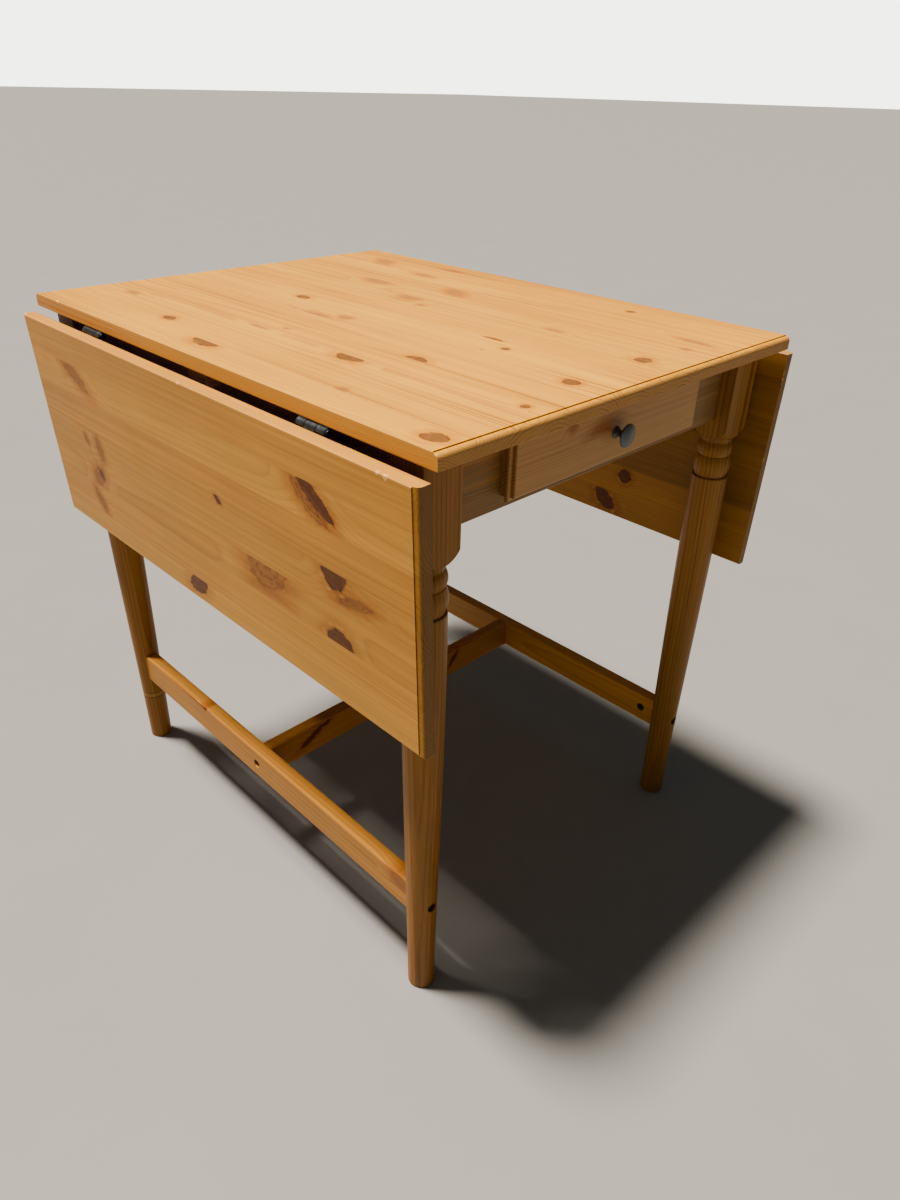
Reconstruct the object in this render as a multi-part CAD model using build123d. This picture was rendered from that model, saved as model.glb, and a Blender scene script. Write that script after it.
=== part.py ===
from build123d import *
import os
from math import sqrt

os.makedirs("parts", exist_ok=True)

# A pine drop leaf table. Millimetres, +Z up. The origin is on the floor under the middle of the top.
# X runs across the two leaves, Y along the hinge lines, and the drawer opens towards -Y.

# Overall size
table_height = 740.0
top_width = 590.0
top_length = 780.0
leaf_reach = 290.0
board_thickness = 17.0

# Moulding on the free edges of the boards
quirk_depth = 1.4
round_radius = 6.0
arris = 0.8

# Hinges
pin_drop = 6.0
pin_radius = 2.5
pin_play = 0.05
knuckle_radius = 5.0
knuckle_gap = 0.4
knuckle_bevel = 0.7
knuckle_lengths = [14.0, 17.0, 14.0]
flap_thickness = 2.0
flap_reach = 28.0
flap_clearance = 5.7
hinge_offset = 225.0
hang_tilt = 2.0
joint_gap = 0.5
flap_corner = 3.0
hinge_screw_spots = [(12.0, -15.5), (12.0, 15.5), (21.5, 0.0)]

# Legs
leg_x = 259.0
leg_y = 337.5
leg_block = 48.0
leg_arris = 2.0
foot_radius = 16.8
foot_arris = 1.2
leg_radius_at_bolt = 18.4
taper_low_pull = (19.7, 250.0)
taper_high_pull = (24.7, 415.0)
taper_top_radius = 23.2
taper_top = 556.0
taper_round = 2.6
low_bead_bottom = 558.8
low_bead_radius = 23.8
low_bead_top = 583.5
high_bead_radius = 22.8
high_bead_top = 602.5
groove_radius = 21.2
neck_radius = 19.4
neck_top = 608.5
shoulder_mid = (29.5, 617.5)
shoulder_top = 634.0
shoulder_radius = 36.0

# Aprons
apron_bottom = 634.5
apron_thickness = 18.0
side_apron_setback = 16.0
end_apron_setback = 20.0

# Stretchers
stretcher_width = 20.0
stretcher_height = 45.0
stretcher_top = 171.0
stretcher_seat = 12.5
stretcher_ease = 2.5

# Stretcher bolts and barrel nuts
bolt_radius = 3.0
bolt_head_radius = 6.2
bolt_head_height = 5.0
bolt_head_sink = 5.0
bolt_past_nut = 8.0
socket_radius = 2.3
socket_depth = 2.5
nut_radius = 6.5
nut_length = 14.0
nut_from_end = 25.0

# Corner brackets, hanger bolts and their nuts
bracket_thickness = 2.0
bracket_bottom = 650.0
bracket_top = 700.0
bracket_start = 170.0
bracket_flange = 20.0
bracket_screw_rise = 13.0
hanger_radius = 4.0
hanger_in_leg = 28.0
hanger_past_nut = 5.0
hanger_nut_flats = 13.0
hanger_nut_height = 6.5

# Small angle brackets that hold the top
angle_reach = 20.0
angle_thickness = 2.0
angle_hole = 13.0
angle_width = 18.0
angle_side_y = 160.0
angle_rear_x = 100.0
angle_front_x = 205.0

# Pull-out leaf supports
support_width = 36.0
support_height = 20.0
support_play = 0.5
support_outer = 285.0
support_inner = 20.0
guide_width = 20.0
keeper_thickness = 8.0
keeper_outer = 245.0
keeper_inner = 215.0
stop_pin_radius = 4.0
stop_pin_x = 40.0

# Drawer
drawer_x = -5.0
drawer_front_width = 323.0
drawer_front_bottom = 646.5
drawer_front_top = 715.0
drawer_front_thickness = 17.5
front_recess = 3.0
front_bead_start = 7.0
front_bead_end = 12.5
front_bead_round = 2.6
field_inset = 4.0
field_round = 2.0
drawer_rest_gap = 0.5
drawer_depth = 296.0
drawer_box_width = 288.0
drawer_box_bottom = 659.0
drawer_box_height = 50.0
drawer_wood = 12.0
drawer_side_play = 3.0
drawer_panel = 4.0
drawer_groove = 5.0
drawer_panel_rise = 5.0
dowel_radius = 3.0
dowel_heights = (680.0, 698.0)
opening_bottom = 657.0
opening_top = 712.0
runner_web = 14.0
runner_ledge = 12.0
runner_bottom = 646.0
runner_play = 0.3
runner_guide_play = 1.0
runner_screw_sink = 32.0
runner_screw_y = (-280.0, -95.0)
runner_counterbore = 4.6
stop_width = 40.0
stop_height = 9.0

# Knob
knob_radius = 12.8
knob_base_radius = 6.4
knob_neck_radius = 3.6
knob_reach = 18.5
knob_screw_radius = 2.0
knob_bore_depth = 9.0

# Wood screws: length, shank radius and head radius
hinge_screw = (12.0, 1.7, 3.6)
bracket_screw = (13.0, 1.7, 3.6)
angle_screw = (12.0, 1.7, 3.4)
guide_screw = (34.0, 2.0, 4.2)
keeper_screw = (22.0, 1.7, 3.6)
runner_screw = (44.0, 2.0, 4.2)
stop_screw = (28.0, 1.7, 3.4)
panel_screw = (14.0, 1.5, 3.2)
screw_play = 0.05
pilot = 0.05
cross_width = 0.9
cross_depth = 1.1

# Worked out from the driving dimensions
half_width = top_width / 2
half_length = top_length / 2
underside = table_height - board_thickness
pin_z = underside - pin_drop
block_half = leg_block / 2
leg_inner_x = leg_x - block_half
leg_inner_y = leg_y - block_half
apron_outer_x = leg_x + block_half - side_apron_setback
apron_outer_y = leg_y + block_half - end_apron_setback
apron_inner_x = apron_outer_x - apron_thickness
apron_inner_y = apron_outer_y - apron_thickness
stretcher_bottom = stretcher_top - stretcher_height
bolt_z = (stretcher_top + stretcher_bottom) / 2
front_back_y = -apron_outer_y - drawer_rest_gap
front_face_y = front_back_y - drawer_front_thickness
drawer_rear_y = front_back_y + drawer_depth
drawer_box_top = drawer_box_bottom + drawer_box_height
drawer_half = drawer_box_width / 2
panel_bottom = drawer_box_bottom + drawer_panel_rise
panel_top = panel_bottom + drawer_panel
knob_z = (drawer_front_bottom + drawer_front_top) / 2
guide_bottom = underside - support_height - 2 * support_play


def block(x0, x1, y0, y1, z0, z1):
    """A box between two corners."""
    centre = Pos((x0 + x1) / 2, (y0 + y1) / 2, (z0 + z1) / 2)
    return centre * Box(abs(x1 - x0), abs(y1 - y0), abs(z1 - z0))


def aim(origin, direction):
    """A place at origin whose own +Z points along direction."""
    return Plane(origin=origin, z_dir=direction).location


def rod(origin, direction, radius, length):
    """A round bar that starts at origin and runs along direction."""
    return aim(origin, direction) * Pos(0, 0, length / 2) * Cylinder(radius, length)


def quarter(shape):
    """A shape made in the +X +Y corner, with its copies in the other three corners."""
    pair = [shape, mirror(shape, Plane.YZ)]
    return pair + [mirror(one, Plane.XZ) for one in pair]


def long_edges(solid, axis, z_value):
    """The solid's edges that run along axis at one height."""
    return [edge for edge in solid.edges().filter_by(axis) if abs(edge.center().Z - z_value) < 0.01]


def solids_of(shape):
    """Every solid in a shape or a list of shapes."""
    if isinstance(shape, (list, tuple)):
        return [solid for one in shape for solid in solids_of(one)]
    return list(shape.solids())


def save(name, shape):
    """Writes one node's STEP file."""
    solids = solids_of(shape)
    whole = solids[0] if len(solids) == 1 else Compound(children=solids)
    whole.label = name
    export_step(whole, f"parts/{name}.step")


# ---- Wood screws and their holes ----


def screw(origin, direction, length, radius, head_radius):
    """A countersunk screw: the top of its head is at origin and it runs along direction."""
    cone = head_radius - radius
    tip = 2.0 * radius
    outline = Polyline(
        (0, 0),
        (head_radius, 0),
        (head_radius, 0.3),
        (radius, 0.3 + cone),
        (radius, length - tip),
        (0.3, length),
        (0, length),
        close=True,
    )
    shape = lathe_z(outline)
    slot = Box(2.2 * radius, cross_width, 2 * cross_depth)
    shape = shape - slot - Rot(0, 0, 90) * slot
    return aim(origin, direction) * shape


def lathe_z(outline):
    """An outline drawn as (radius, height) on the XY plane, stood up and spun about Z."""
    face = Plane.XZ * make_face(outline)
    return revolve(face, Axis.Z)


def screw_hole(origin, direction, length, radius, head_radius):
    """The hole that such a screw fills, a hair larger all round."""
    cone = head_radius - radius
    wide = head_radius + screw_play
    thin = radius + pilot
    outline = Polyline(
        (0, -0.5),
        (wide, -0.5),
        (wide, 0.35),
        (thin, 0.35 + cone),
        (thin, length + 0.5),
        (0, length + 0.5),
        close=True,
    )
    return aim(origin, direction) * lathe_z(outline)


def fit_screws(spots, length, radius, head_radius):
    """The screws at a list of (origin, direction), and their holes."""
    screws = [screw(spot, way, length, radius, head_radius) for spot, way in spots]
    holes = [screw_hole(spot, way, length, radius, head_radius) for spot, way in spots]
    return screws, holes


def cut(solid, holes):
    """Takes each hole out of a solid, skipping those that stay clear of it."""
    room = solid.bounding_box()
    for hole in holes:
        reach = hole.bounding_box()
        apart = (
            reach.min.X > room.max.X
            or reach.max.X < room.min.X
            or reach.min.Y > room.max.Y
            or reach.max.Y < room.min.Y
            or reach.min.Z > room.max.Z
            or reach.max.Z < room.min.Z
        )
        if not apart:
            solid = solid - hole
    return solid


# ---- Boards with a moulded edge ----


def edge_section(start, end, start_moulded):
    """A board's section, moulded at its end and either moulded or square at its start."""
    shoulder = table_height - quirk_depth
    low = shoulder - round_radius
    bend = round_radius * (1 - 1 / sqrt(2))
    lines = Polyline(
        (start + arris, underside),
        (end - arris, underside),
        (end, underside + arris),
        (end, low),
    )
    lines = lines + ThreePointArc(
        (end, low),
        (end - bend, shoulder - bend),
        (end - round_radius, shoulder),
    )
    lines = lines + Line((end - round_radius, shoulder), (end - round_radius, table_height))
    if start_moulded:
        lines = lines + Line((end - round_radius, table_height), (start + round_radius, table_height))
        lines = lines + Line((start + round_radius, table_height), (start + round_radius, shoulder))
        lines = lines + ThreePointArc(
            (start + round_radius, shoulder),
            (start + bend, shoulder - bend),
            (start, low),
        )
        lines = lines + Line((start, low), (start, underside + arris))
    else:
        lines = lines + Line((end - round_radius, table_height), (start + arris, table_height))
        lines = lines + Line((start + arris, table_height), (start, table_height - arris))
        lines = lines + Line((start, table_height - arris), (start, underside + arris))
    lines = lines + Line((start, underside + arris), (start + arris, underside))
    return make_face(lines)


def lengthwise_board(x0, x1):
    """A board from x0 to x1 with both of its ends moulded."""
    section = Plane.YZ * edge_section(-half_length, half_length, True)
    return Pos(x0, 0, 0) * extrude(section, x1 - x0, dir=(1, 0, 0))


def centre_top():
    """The fixed middle board. Its hinge edges are square with a fine arris."""
    board = lengthwise_board(-half_width, half_width)
    sharp = [e for e in board.edges().filter_by(Axis.Y) if abs(abs(e.center().X) - half_width) < 0.01]
    return chamfer(sharp, arris)


def raised_leaf():
    """The right leaf as it lies when raised, level with the top."""
    start = half_width + joint_gap
    end = half_width + leaf_reach
    section = Plane.XZ * edge_section(start, end, False)
    across = Pos(0, half_length, 0) * extrude(section, top_length, dir=(0, -1, 0))
    return across & lengthwise_board(start - 1, end + 1)


def hang(shape):
    """Swings a raised right-hand piece down about its hinge pin to where it hangs at rest."""
    return shape.rotate(Axis((half_width, 0, pin_z), (0, 1, 0)), 90 + hang_tilt)


# ---- Hinges, made for the right-hand side with the leaf raised ----


def knuckle_spans():
    """Each knuckle's start and end along the hinge, measured from its middle."""
    spans = []
    place = -sum(knuckle_lengths) / 2
    for length in knuckle_lengths:
        spans.append((place, place + length))
        place = place + length
    return spans


def hinge_flap(centre_y, side, own):
    """One flap: side is -1 under the top and +1 under the leaf, own lists its knuckles."""
    spans = knuckle_spans()
    length = sum(knuckle_lengths)
    far = half_width + side * flap_reach
    near = half_width + side * flap_clearance
    y0 = centre_y - length / 2
    plate = block(min(near, far), max(near, far), y0, y0 + length, underside - flap_thickness, underside)
    corners = [e for e in plate.edges().filter_by(Axis.Z) if abs(e.center().X - far) < 0.01]
    plate = fillet(corners, flap_corner)
    for index in own:
        low, high = spans[index]
        low = centre_y + low + knuckle_gap / 2
        high = centre_y + high - knuckle_gap / 2
        tongue = block(
            min(half_width, near), max(half_width, near), low, high, underside - flap_thickness, underside
        )
        barrel = rod((half_width, low, pin_z), (0, 1, 0), knuckle_radius, high - low)
        barrel = chamfer(barrel.edges().filter_by(GeomType.CIRCLE), knuckle_bevel)
        plate = plate + tongue + barrel
    bore = rod((half_width, y0 - 1, pin_z), (0, 1, 0), pin_radius + pin_play, length + 2)
    return plate - bore


def hinge_pin(centre_y):
    """The pin, with a low rounded head at each end of the barrel."""
    length = sum(knuckle_lengths)
    y0 = centre_y - length / 2
    pin = rod((half_width, y0, pin_z), (0, 1, 0), pin_radius, length)
    for end, way in ((y0, -1), (y0 + length, 1)):
        head = rod((half_width, end, pin_z), (0, way, 0), pin_radius + 1.0, 1.2)
        rim = head.faces().sort_by(Axis.Y)[-1 if way > 0 else 0].edges()
        pin = pin + fillet(rim, 0.8)
    return pin


def hinge_spots(side):
    """The screw places under the top (side -1) or under the leaf (side +1)."""
    return [
        ((half_width + side * out, centre_y + along, underside - flap_thickness), (0, 0, 1))
        for centre_y in (-hinge_offset, hinge_offset)
        for out, along in hinge_screw_spots
    ]


# ---- Legs ----


def leg():
    """A turned leg under a square block, stood at the middle of the frame's own origin."""
    low_mid = (low_bead_bottom + low_bead_top) / 2
    high_mid = (low_bead_top + 1.0 + high_bead_top) / 2
    round_start = taper_top - taper_round
    round_end = taper_top_radius - taper_round
    round_bend = taper_round * (1 - 1 / sqrt(2))
    lines = Polyline((0, 0), (foot_radius - foot_arris, 0), (foot_radius, foot_arris))
    lines = lines + Bezier(
        (foot_radius, foot_arris),
        taper_low_pull,
        taper_high_pull,
        (taper_top_radius, round_start),
    )
    lines = lines + ThreePointArc(
        (taper_top_radius, round_start),
        (taper_top_radius - round_bend, taper_top - round_bend),
        (round_end, taper_top),
    )
    lines = lines + Polyline(
        (round_end, taper_top),
        (round_end, low_bead_bottom),
        (groove_radius, low_bead_bottom),
    )
    lines = lines + ThreePointArc(
        (groove_radius, low_bead_bottom),
        (low_bead_radius, low_mid),
        (groove_radius, low_bead_top),
    )
    lines = lines + Line((groove_radius, low_bead_top), (neck_radius + 1, low_bead_top + 1.0))
    lines = lines + ThreePointArc(
        (neck_radius + 1, low_bead_top + 1.0),
        (high_bead_radius, high_mid),
        (neck_radius + 0.6, high_bead_top),
    )
    lines = lines + Polyline(
        (neck_radius + 0.6, high_bead_top),
        (neck_radius, high_bead_top + 1.5),
        (neck_radius, neck_top),
    )
    lines = lines + ThreePointArc(
        (neck_radius, neck_top),
        shoulder_mid,
        (shoulder_radius, shoulder_top),
    )
    lines = lines + Polyline(
        (shoulder_radius, shoulder_top),
        (shoulder_radius, underside),
        (0, underside),
        (0, 0),
    )
    turned = lathe_z(lines)
    square = block(-block_half, block_half, -block_half, block_half, 0, underside)
    square = fillet(square.edges().filter_by(Axis.Z), leg_arris)
    return turned & square


# ---- Stretchers ----


def stretcher(axis, reach):
    """A bar of the given half length, centred on the origin's middle plane, with eased long edges."""
    half = stretcher_width / 2
    if axis == Axis.Y:
        bar = block(-half, half, -reach, reach, stretcher_bottom, stretcher_top)
    else:
        bar = block(-reach, reach, -half, half, stretcher_bottom, stretcher_top)
    bar = fillet(long_edges(bar, axis, stretcher_top), stretcher_ease)
    return fillet(long_edges(bar, axis, stretcher_bottom), 1.0)


def socket_bolt(origin, direction, length):
    """A bolt whose head starts at origin and points back; its shank runs along direction."""
    shape = Pos(0, 0, length / 2) * Cylinder(bolt_radius, length)
    head = Pos(0, 0, -bolt_head_height / 2) * Cylinder(bolt_head_radius, bolt_head_height)
    head = fillet(head.faces().sort_by(Axis.Z)[0].edges(), 0.6)
    hexagon = RegularPolygon(socket_radius, 6)
    socket = Pos(0, 0, -bolt_head_height) * extrude(hexagon, socket_depth)
    return aim(origin, direction) * (shape + head - socket)


def bolt_hole(origin, direction, length, mouth):
    """The hole for such a bolt, with a counterbore that runs back past the surface."""
    shank = rod(origin, direction, bolt_radius + 0.2, length + 1.0)
    back = tuple(-part for part in direction)
    return shank + rod(origin, back, bolt_head_radius + 0.3, mouth)


def barrel_nut(centre, nut_axis, bolt_axis):
    """A cross-drilled barrel nut and, apart, the hole that it sits in, open on one side."""
    start = tuple(c - a * nut_length / 2 for c, a in zip(centre, nut_axis))
    nut = rod(start, nut_axis, nut_radius, nut_length)
    nut = fillet(nut.edges().filter_by(GeomType.CIRCLE), 0.5)
    across = tuple(c - a * nut_radius * 2 for c, a in zip(centre, bolt_axis))
    nut = nut - rod(across, bolt_axis, bolt_radius + 0.05, nut_radius * 4)
    hole = rod(start, nut_axis, nut_radius + 0.1, stretcher_width)
    return nut, hole


# ---- Corner brackets and angle brackets ----


def corner_bracket():
    """A bent plate across the +X +Y corner, with a flat flange on each apron."""
    turn = bracket_start + bracket_flange
    end = apron_inner_y - (apron_inner_x - turn)
    slip = bracket_thickness * (sqrt(2) - 1)
    plan = Polyline(
        (bracket_start, apron_inner_y),
        (turn, apron_inner_y),
        (apron_inner_x, end),
        (apron_inner_x, end - bracket_flange),
        (apron_inner_x - bracket_thickness, end - bracket_flange),
        (apron_inner_x - bracket_thickness, end - slip),
        (turn - slip, apron_inner_y - bracket_thickness),
        (bracket_start, apron_inner_y - bracket_thickness),
        close=True,
    )
    return Pos(0, 0, bracket_bottom) * extrude(make_face(plan), bracket_top - bracket_bottom)


def corner_bracket_spots():
    """Screw places on the corner bracket's two flanges."""
    middle = (bracket_bottom + bracket_top) / 2
    on_rear = bracket_start + bracket_flange / 2
    end = apron_inner_y - (apron_inner_x - bracket_start - bracket_flange)
    on_side = end - bracket_flange / 2
    spots = []
    for rise in (-bracket_screw_rise, bracket_screw_rise):
        spots.append(((on_rear, apron_inner_y - bracket_thickness, middle + rise), (0, 1, 0)))
        spots.append(((apron_inner_x - bracket_thickness, on_side, middle + rise), (1, 0, 0)))
    return spots


def angle_bracket():
    """A small steel angle: one leg under the top along -X, the other down a face at X = 0."""
    half = angle_width / 2
    under = underside - angle_thickness
    flat = block(-angle_reach, 0, -half, half, under, underside)
    down = block(-angle_thickness, 0, -half, half, underside - angle_reach, underside)
    shape = flat + down
    inner = [e for e in long_edges(shape, Axis.Y, under) if abs(e.center().X + angle_thickness) < 0.01]
    return fillet(inner, 1.5)


def angle_places():
    """Where the angle brackets go: a place and a turn about Z."""
    places = [(apron_inner_x, side * angle_side_y, 0) for side in (1, -1)]
    places += [(-apron_inner_x, side * angle_side_y, 180) for side in (1, -1)]
    places += [(sx * angle_rear_x, apron_inner_y, 90) for sx in (1, -1)]
    places += [(sx * angle_front_x, -apron_inner_y, -90) for sx in (1, -1)]
    return [Pos(x, y, 0) * Rot(0, 0, turn) for x, y, turn in places]


# ---- Drawer ----


def drawer_front():
    """The overlay front: a recess, a bead and a raised field run round all four edges."""
    x0 = drawer_x - drawer_front_width / 2
    x1 = drawer_x + drawer_front_width / 2
    z0 = drawer_front_bottom
    z1 = drawer_front_top
    bead_start = front_back_y - front_bead_start
    bead_end = front_back_y - front_bead_end
    low = z0 + front_recess
    high = z1 - front_recess
    back = block(x0 + front_recess, x1 - front_recess, front_back_y, bead_start, low, high)
    bead = block(x0, x1, bead_start, bead_end, z0, z1)
    rims = bead.faces().sort_by(Axis.Y)[0].edges() + bead.faces().sort_by(Axis.Y)[-1].edges()
    bead = fillet(rims, front_bead_round)
    inset_box = block(
        x0 + field_inset, x1 - field_inset, bead_end, front_face_y, z0 + field_inset, z1 - field_inset
    )
    field = fillet(inset_box.faces().sort_by(Axis.Y)[0].edges(), field_round)
    return back + bead + field


def knob():
    """An iron knob: a flared foot, a thin neck and a shallow domed disc, standing out along -Y."""
    disc_back = knob_reach - 5.0
    rim = knob_radius - 1.0
    bore = knob_screw_radius + 0.05
    lines = Polyline(
        (bore, 0),
        (knob_base_radius, 0),
        (knob_base_radius, 1.2),
        (knob_neck_radius + 0.8, 3.0),
        (knob_neck_radius, 5.5),
        (knob_neck_radius, 9.0),
        (knob_neck_radius + 1.6, 11.5),
        (rim, disc_back),
    )
    lines = lines + ThreePointArc((rim, disc_back), (knob_radius, disc_back + 1.2), (rim, disc_back + 2.4))
    lines = lines + ThreePointArc((rim, disc_back + 2.4), (rim * 0.6, knob_reach - 0.9), (1.5, knob_reach))
    lines = lines + Polyline(
        (1.5, knob_reach),
        (0, knob_reach),
        (0, knob_bore_depth),
        (bore, knob_bore_depth),
        (bore, 0),
    )
    return aim((drawer_x, front_face_y, knob_z), (0, -1, 0)) * lathe_z(lines)


def knob_screw():
    """A pan head machine screw from inside the drawer into the knob."""
    length = drawer_front_thickness + 8
    shank = Pos(0, 0, length / 2) * Cylinder(knob_screw_radius, length)
    head = Pos(0, 0, -1.2) * Cylinder(4.0, 2.4)
    head = fillet(head.faces().sort_by(Axis.Z)[0].edges(), 1.0)
    slot = Pos(0, 0, -2.4) * Box(4.4, cross_width, 2 * cross_depth)
    return aim((drawer_x, front_back_y, knob_z), (0, -1, 0)) * (shank + head - slot - Rot(0, 0, 90) * slot)


def build_top_and_leaves():
    """The three boards, both pairs of hinges and the screws of the top's flaps."""
    top_spots = hinge_spots(-1)
    leaf_spots = hinge_spots(1)
    top_screws, top_holes = fit_screws(top_spots, *hinge_screw)
    leaf_screws, leaf_holes = fit_screws(leaf_spots, *hinge_screw)
    middles = (-hinge_offset, hinge_offset)
    top_flaps = [cut(hinge_flap(y, -1, [0, 2]), top_holes) for y in middles]
    leaf_flaps = [hang(cut(hinge_flap(y, 1, [1]), leaf_holes)) for y in middles]
    pins = [hinge_pin(y) for y in middles]
    leaf = hang(cut(raised_leaf(), leaf_holes))
    hung_screws = [hang(one) for one in leaf_screws]
    right = {
        "leaf": [leaf],
        "top_hinge_flaps": top_flaps,
        "leaf_hinge_flaps": leaf_flaps,
        "hinge_pins": pins,
        "top_hinge_screws": top_screws,
        "leaf_hinge_screws": hung_screws,
    }
    for name, shapes in right.items():
        save(f"right_{name}", shapes)
        save(f"left_{name}", [mirror(one, Plane.YZ) for one in shapes])
    return top_holes + [mirror(one, Plane.YZ) for one in top_holes]


def build_legs_and_stretchers():
    """Four legs, the H of stretchers and the bolts and barrel nuts that hold them."""
    seat = leg_y - stretcher_seat
    side_bar = stretcher(Axis.Y, seat)
    cross_reach = leg_x - stretcher_width / 2
    cross_bar = stretcher(Axis.X, cross_reach)
    right_bar = Pos(leg_x, 0, 0) * side_bar
    head_seat = leg_y + leg_radius_at_bolt - bolt_head_sink - bolt_head_height
    nut_y = seat - nut_from_end
    leg_bolt_length = head_seat - nut_y + bolt_past_nut
    leg_bolt_place = (leg_x, head_seat, bolt_z)
    leg_bolt = socket_bolt(leg_bolt_place, (0, -1, 0), leg_bolt_length)
    leg_bolt_hole = bolt_hole(leg_bolt_place, (0, -1, 0), leg_bolt_length, 20.0)
    leg_nut, leg_nut_hole = barrel_nut((leg_x, nut_y, bolt_z), (-1, 0, 0), (0, 1, 0))

    cross_seat = leg_x + stretcher_width / 2 - bolt_head_sink - bolt_head_height
    cross_nut_x = cross_reach - nut_from_end
    cross_bolt_length = cross_seat - cross_nut_x + bolt_past_nut
    cross_place = (cross_seat, 0, bolt_z)
    cross_bolt = socket_bolt(cross_place, (-1, 0, 0), cross_bolt_length)
    cross_hole = bolt_hole(cross_place, (-1, 0, 0), cross_bolt_length, 12.0)
    cross_nut, cross_nut_hole = barrel_nut((cross_nut_x, 0, bolt_z), (0, 1, 0), (1, 0, 0))

    hanger, hanger_hole, hanger_nut = build_hanger()
    one_leg = Pos(leg_x, leg_y, 0) * leg()
    one_leg = one_leg - right_bar - leg_bolt_hole - hanger_hole
    names = ["rear_right_leg", "rear_left_leg", "front_right_leg", "front_left_leg"]
    for name, shape in zip(names, quarter(one_leg)):
        save(name, shape)

    for hole in (leg_bolt_hole, leg_nut_hole):
        right_bar = right_bar - hole - mirror(hole, Plane.XZ)
    right_bar = right_bar - cross_hole
    save("right_stretcher", right_bar)
    save("left_stretcher", mirror(right_bar, Plane.YZ))
    for hole in (cross_hole, cross_nut_hole):
        cross_bar = cross_bar - hole - mirror(hole, Plane.YZ)
    save("cross_stretcher", cross_bar)
    save("leg_stretcher_bolts", quarter(leg_bolt))
    save("leg_stretcher_barrel_nuts", quarter(leg_nut))
    save("cross_stretcher_bolts", [cross_bolt, mirror(cross_bolt, Plane.YZ)])
    save("cross_stretcher_barrel_nuts", [cross_nut, mirror(cross_nut, Plane.YZ)])
    save("hanger_bolts", quarter(hanger))
    save("hanger_bolt_nuts", quarter(hanger_nut))
    return hanger_hole


def build_hanger():
    """The bolt from the leg's inner corner through the corner bracket, its hole and its nut."""
    step = 1 / sqrt(2)
    inward = (-step, -step, 0)
    height = (bracket_bottom + bracket_top) / 2
    turn = bracket_start + bracket_flange
    gap = (leg_inner_x + leg_inner_y - turn - apron_inner_y) * step
    plate_back = gap + bracket_thickness
    start = (leg_inner_x + hanger_in_leg * step, leg_inner_y + hanger_in_leg * step, height)
    length = hanger_in_leg + plate_back + hanger_nut_height + hanger_past_nut
    bolt = rod(start, inward, hanger_radius, length)
    bolt = chamfer(bolt.edges().filter_by(GeomType.CIRCLE), 0.8)
    hole = rod(start, inward, hanger_radius + 0.05, length)
    nut_start = (leg_inner_x - plate_back * step, leg_inner_y - plate_back * step, height)
    hexagon = RegularPolygon(hanger_nut_flats / 2, 6, major_radius=False)
    nut = aim(nut_start, inward) * extrude(hexagon, hanger_nut_height)
    return bolt, hole, nut - hole


def build_aprons(hanger_hole):
    """Four aprons, the corner brackets, the angle brackets and all of their screws."""
    bracket_screws, bracket_holes = fit_screws(corner_bracket_spots(), *bracket_screw)
    all_bracket_holes = [part for hole in bracket_holes for part in quarter(hole)]
    bracket = cut(corner_bracket() - hanger_hole, bracket_holes)
    save("corner_brackets", quarter(bracket))
    save("corner_bracket_screws", [part for one in bracket_screws for part in quarter(one)])

    angle_spots = [
        ((-angle_hole, 0, underside - angle_thickness), (0, 0, 1)),
        ((-angle_thickness, 0, underside - angle_hole), (1, 0, 0)),
    ]
    angle_screws, angle_holes = fit_screws(angle_spots, *angle_screw)
    angle = cut(angle_bracket(), angle_holes)
    places = angle_places()
    save("top_angle_brackets", [place * angle for place in places])
    save("top_angle_bracket_screws", [place * one for place in places for one in angle_screws])
    placed_holes = [place * one for place in places for one in angle_holes]
    holes = all_bracket_holes + placed_holes

    right = block(apron_inner_x, apron_outer_x, -leg_inner_y, leg_inner_y, apron_bottom, underside)
    right = chamfer(long_edges(right, Axis.Y, apron_bottom), arris)
    slot_half = support_width / 2 + support_play
    right = right - block(
        apron_inner_x - 1, apron_outer_x + 1, -slot_half, slot_half, guide_bottom, underside + 1
    )
    right = cut(right, holes)
    save("right_apron", right)
    save("left_apron", mirror(right, Plane.YZ))

    rear = block(-leg_inner_x, leg_inner_x, apron_inner_y, apron_outer_y, apron_bottom, underside)
    rear = chamfer(long_edges(rear, Axis.X, apron_bottom), arris)
    save("rear_apron", cut(rear, holes))

    front = mirror(rear, Plane.XZ)
    mouth_half = drawer_half + drawer_side_play
    front = front - block(
        drawer_x - mouth_half,
        drawer_x + mouth_half,
        -apron_outer_y - 1,
        -apron_inner_y + 1,
        opening_bottom,
        opening_top,
    )
    save("front_apron", cut(front, holes))
    return placed_holes


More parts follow.
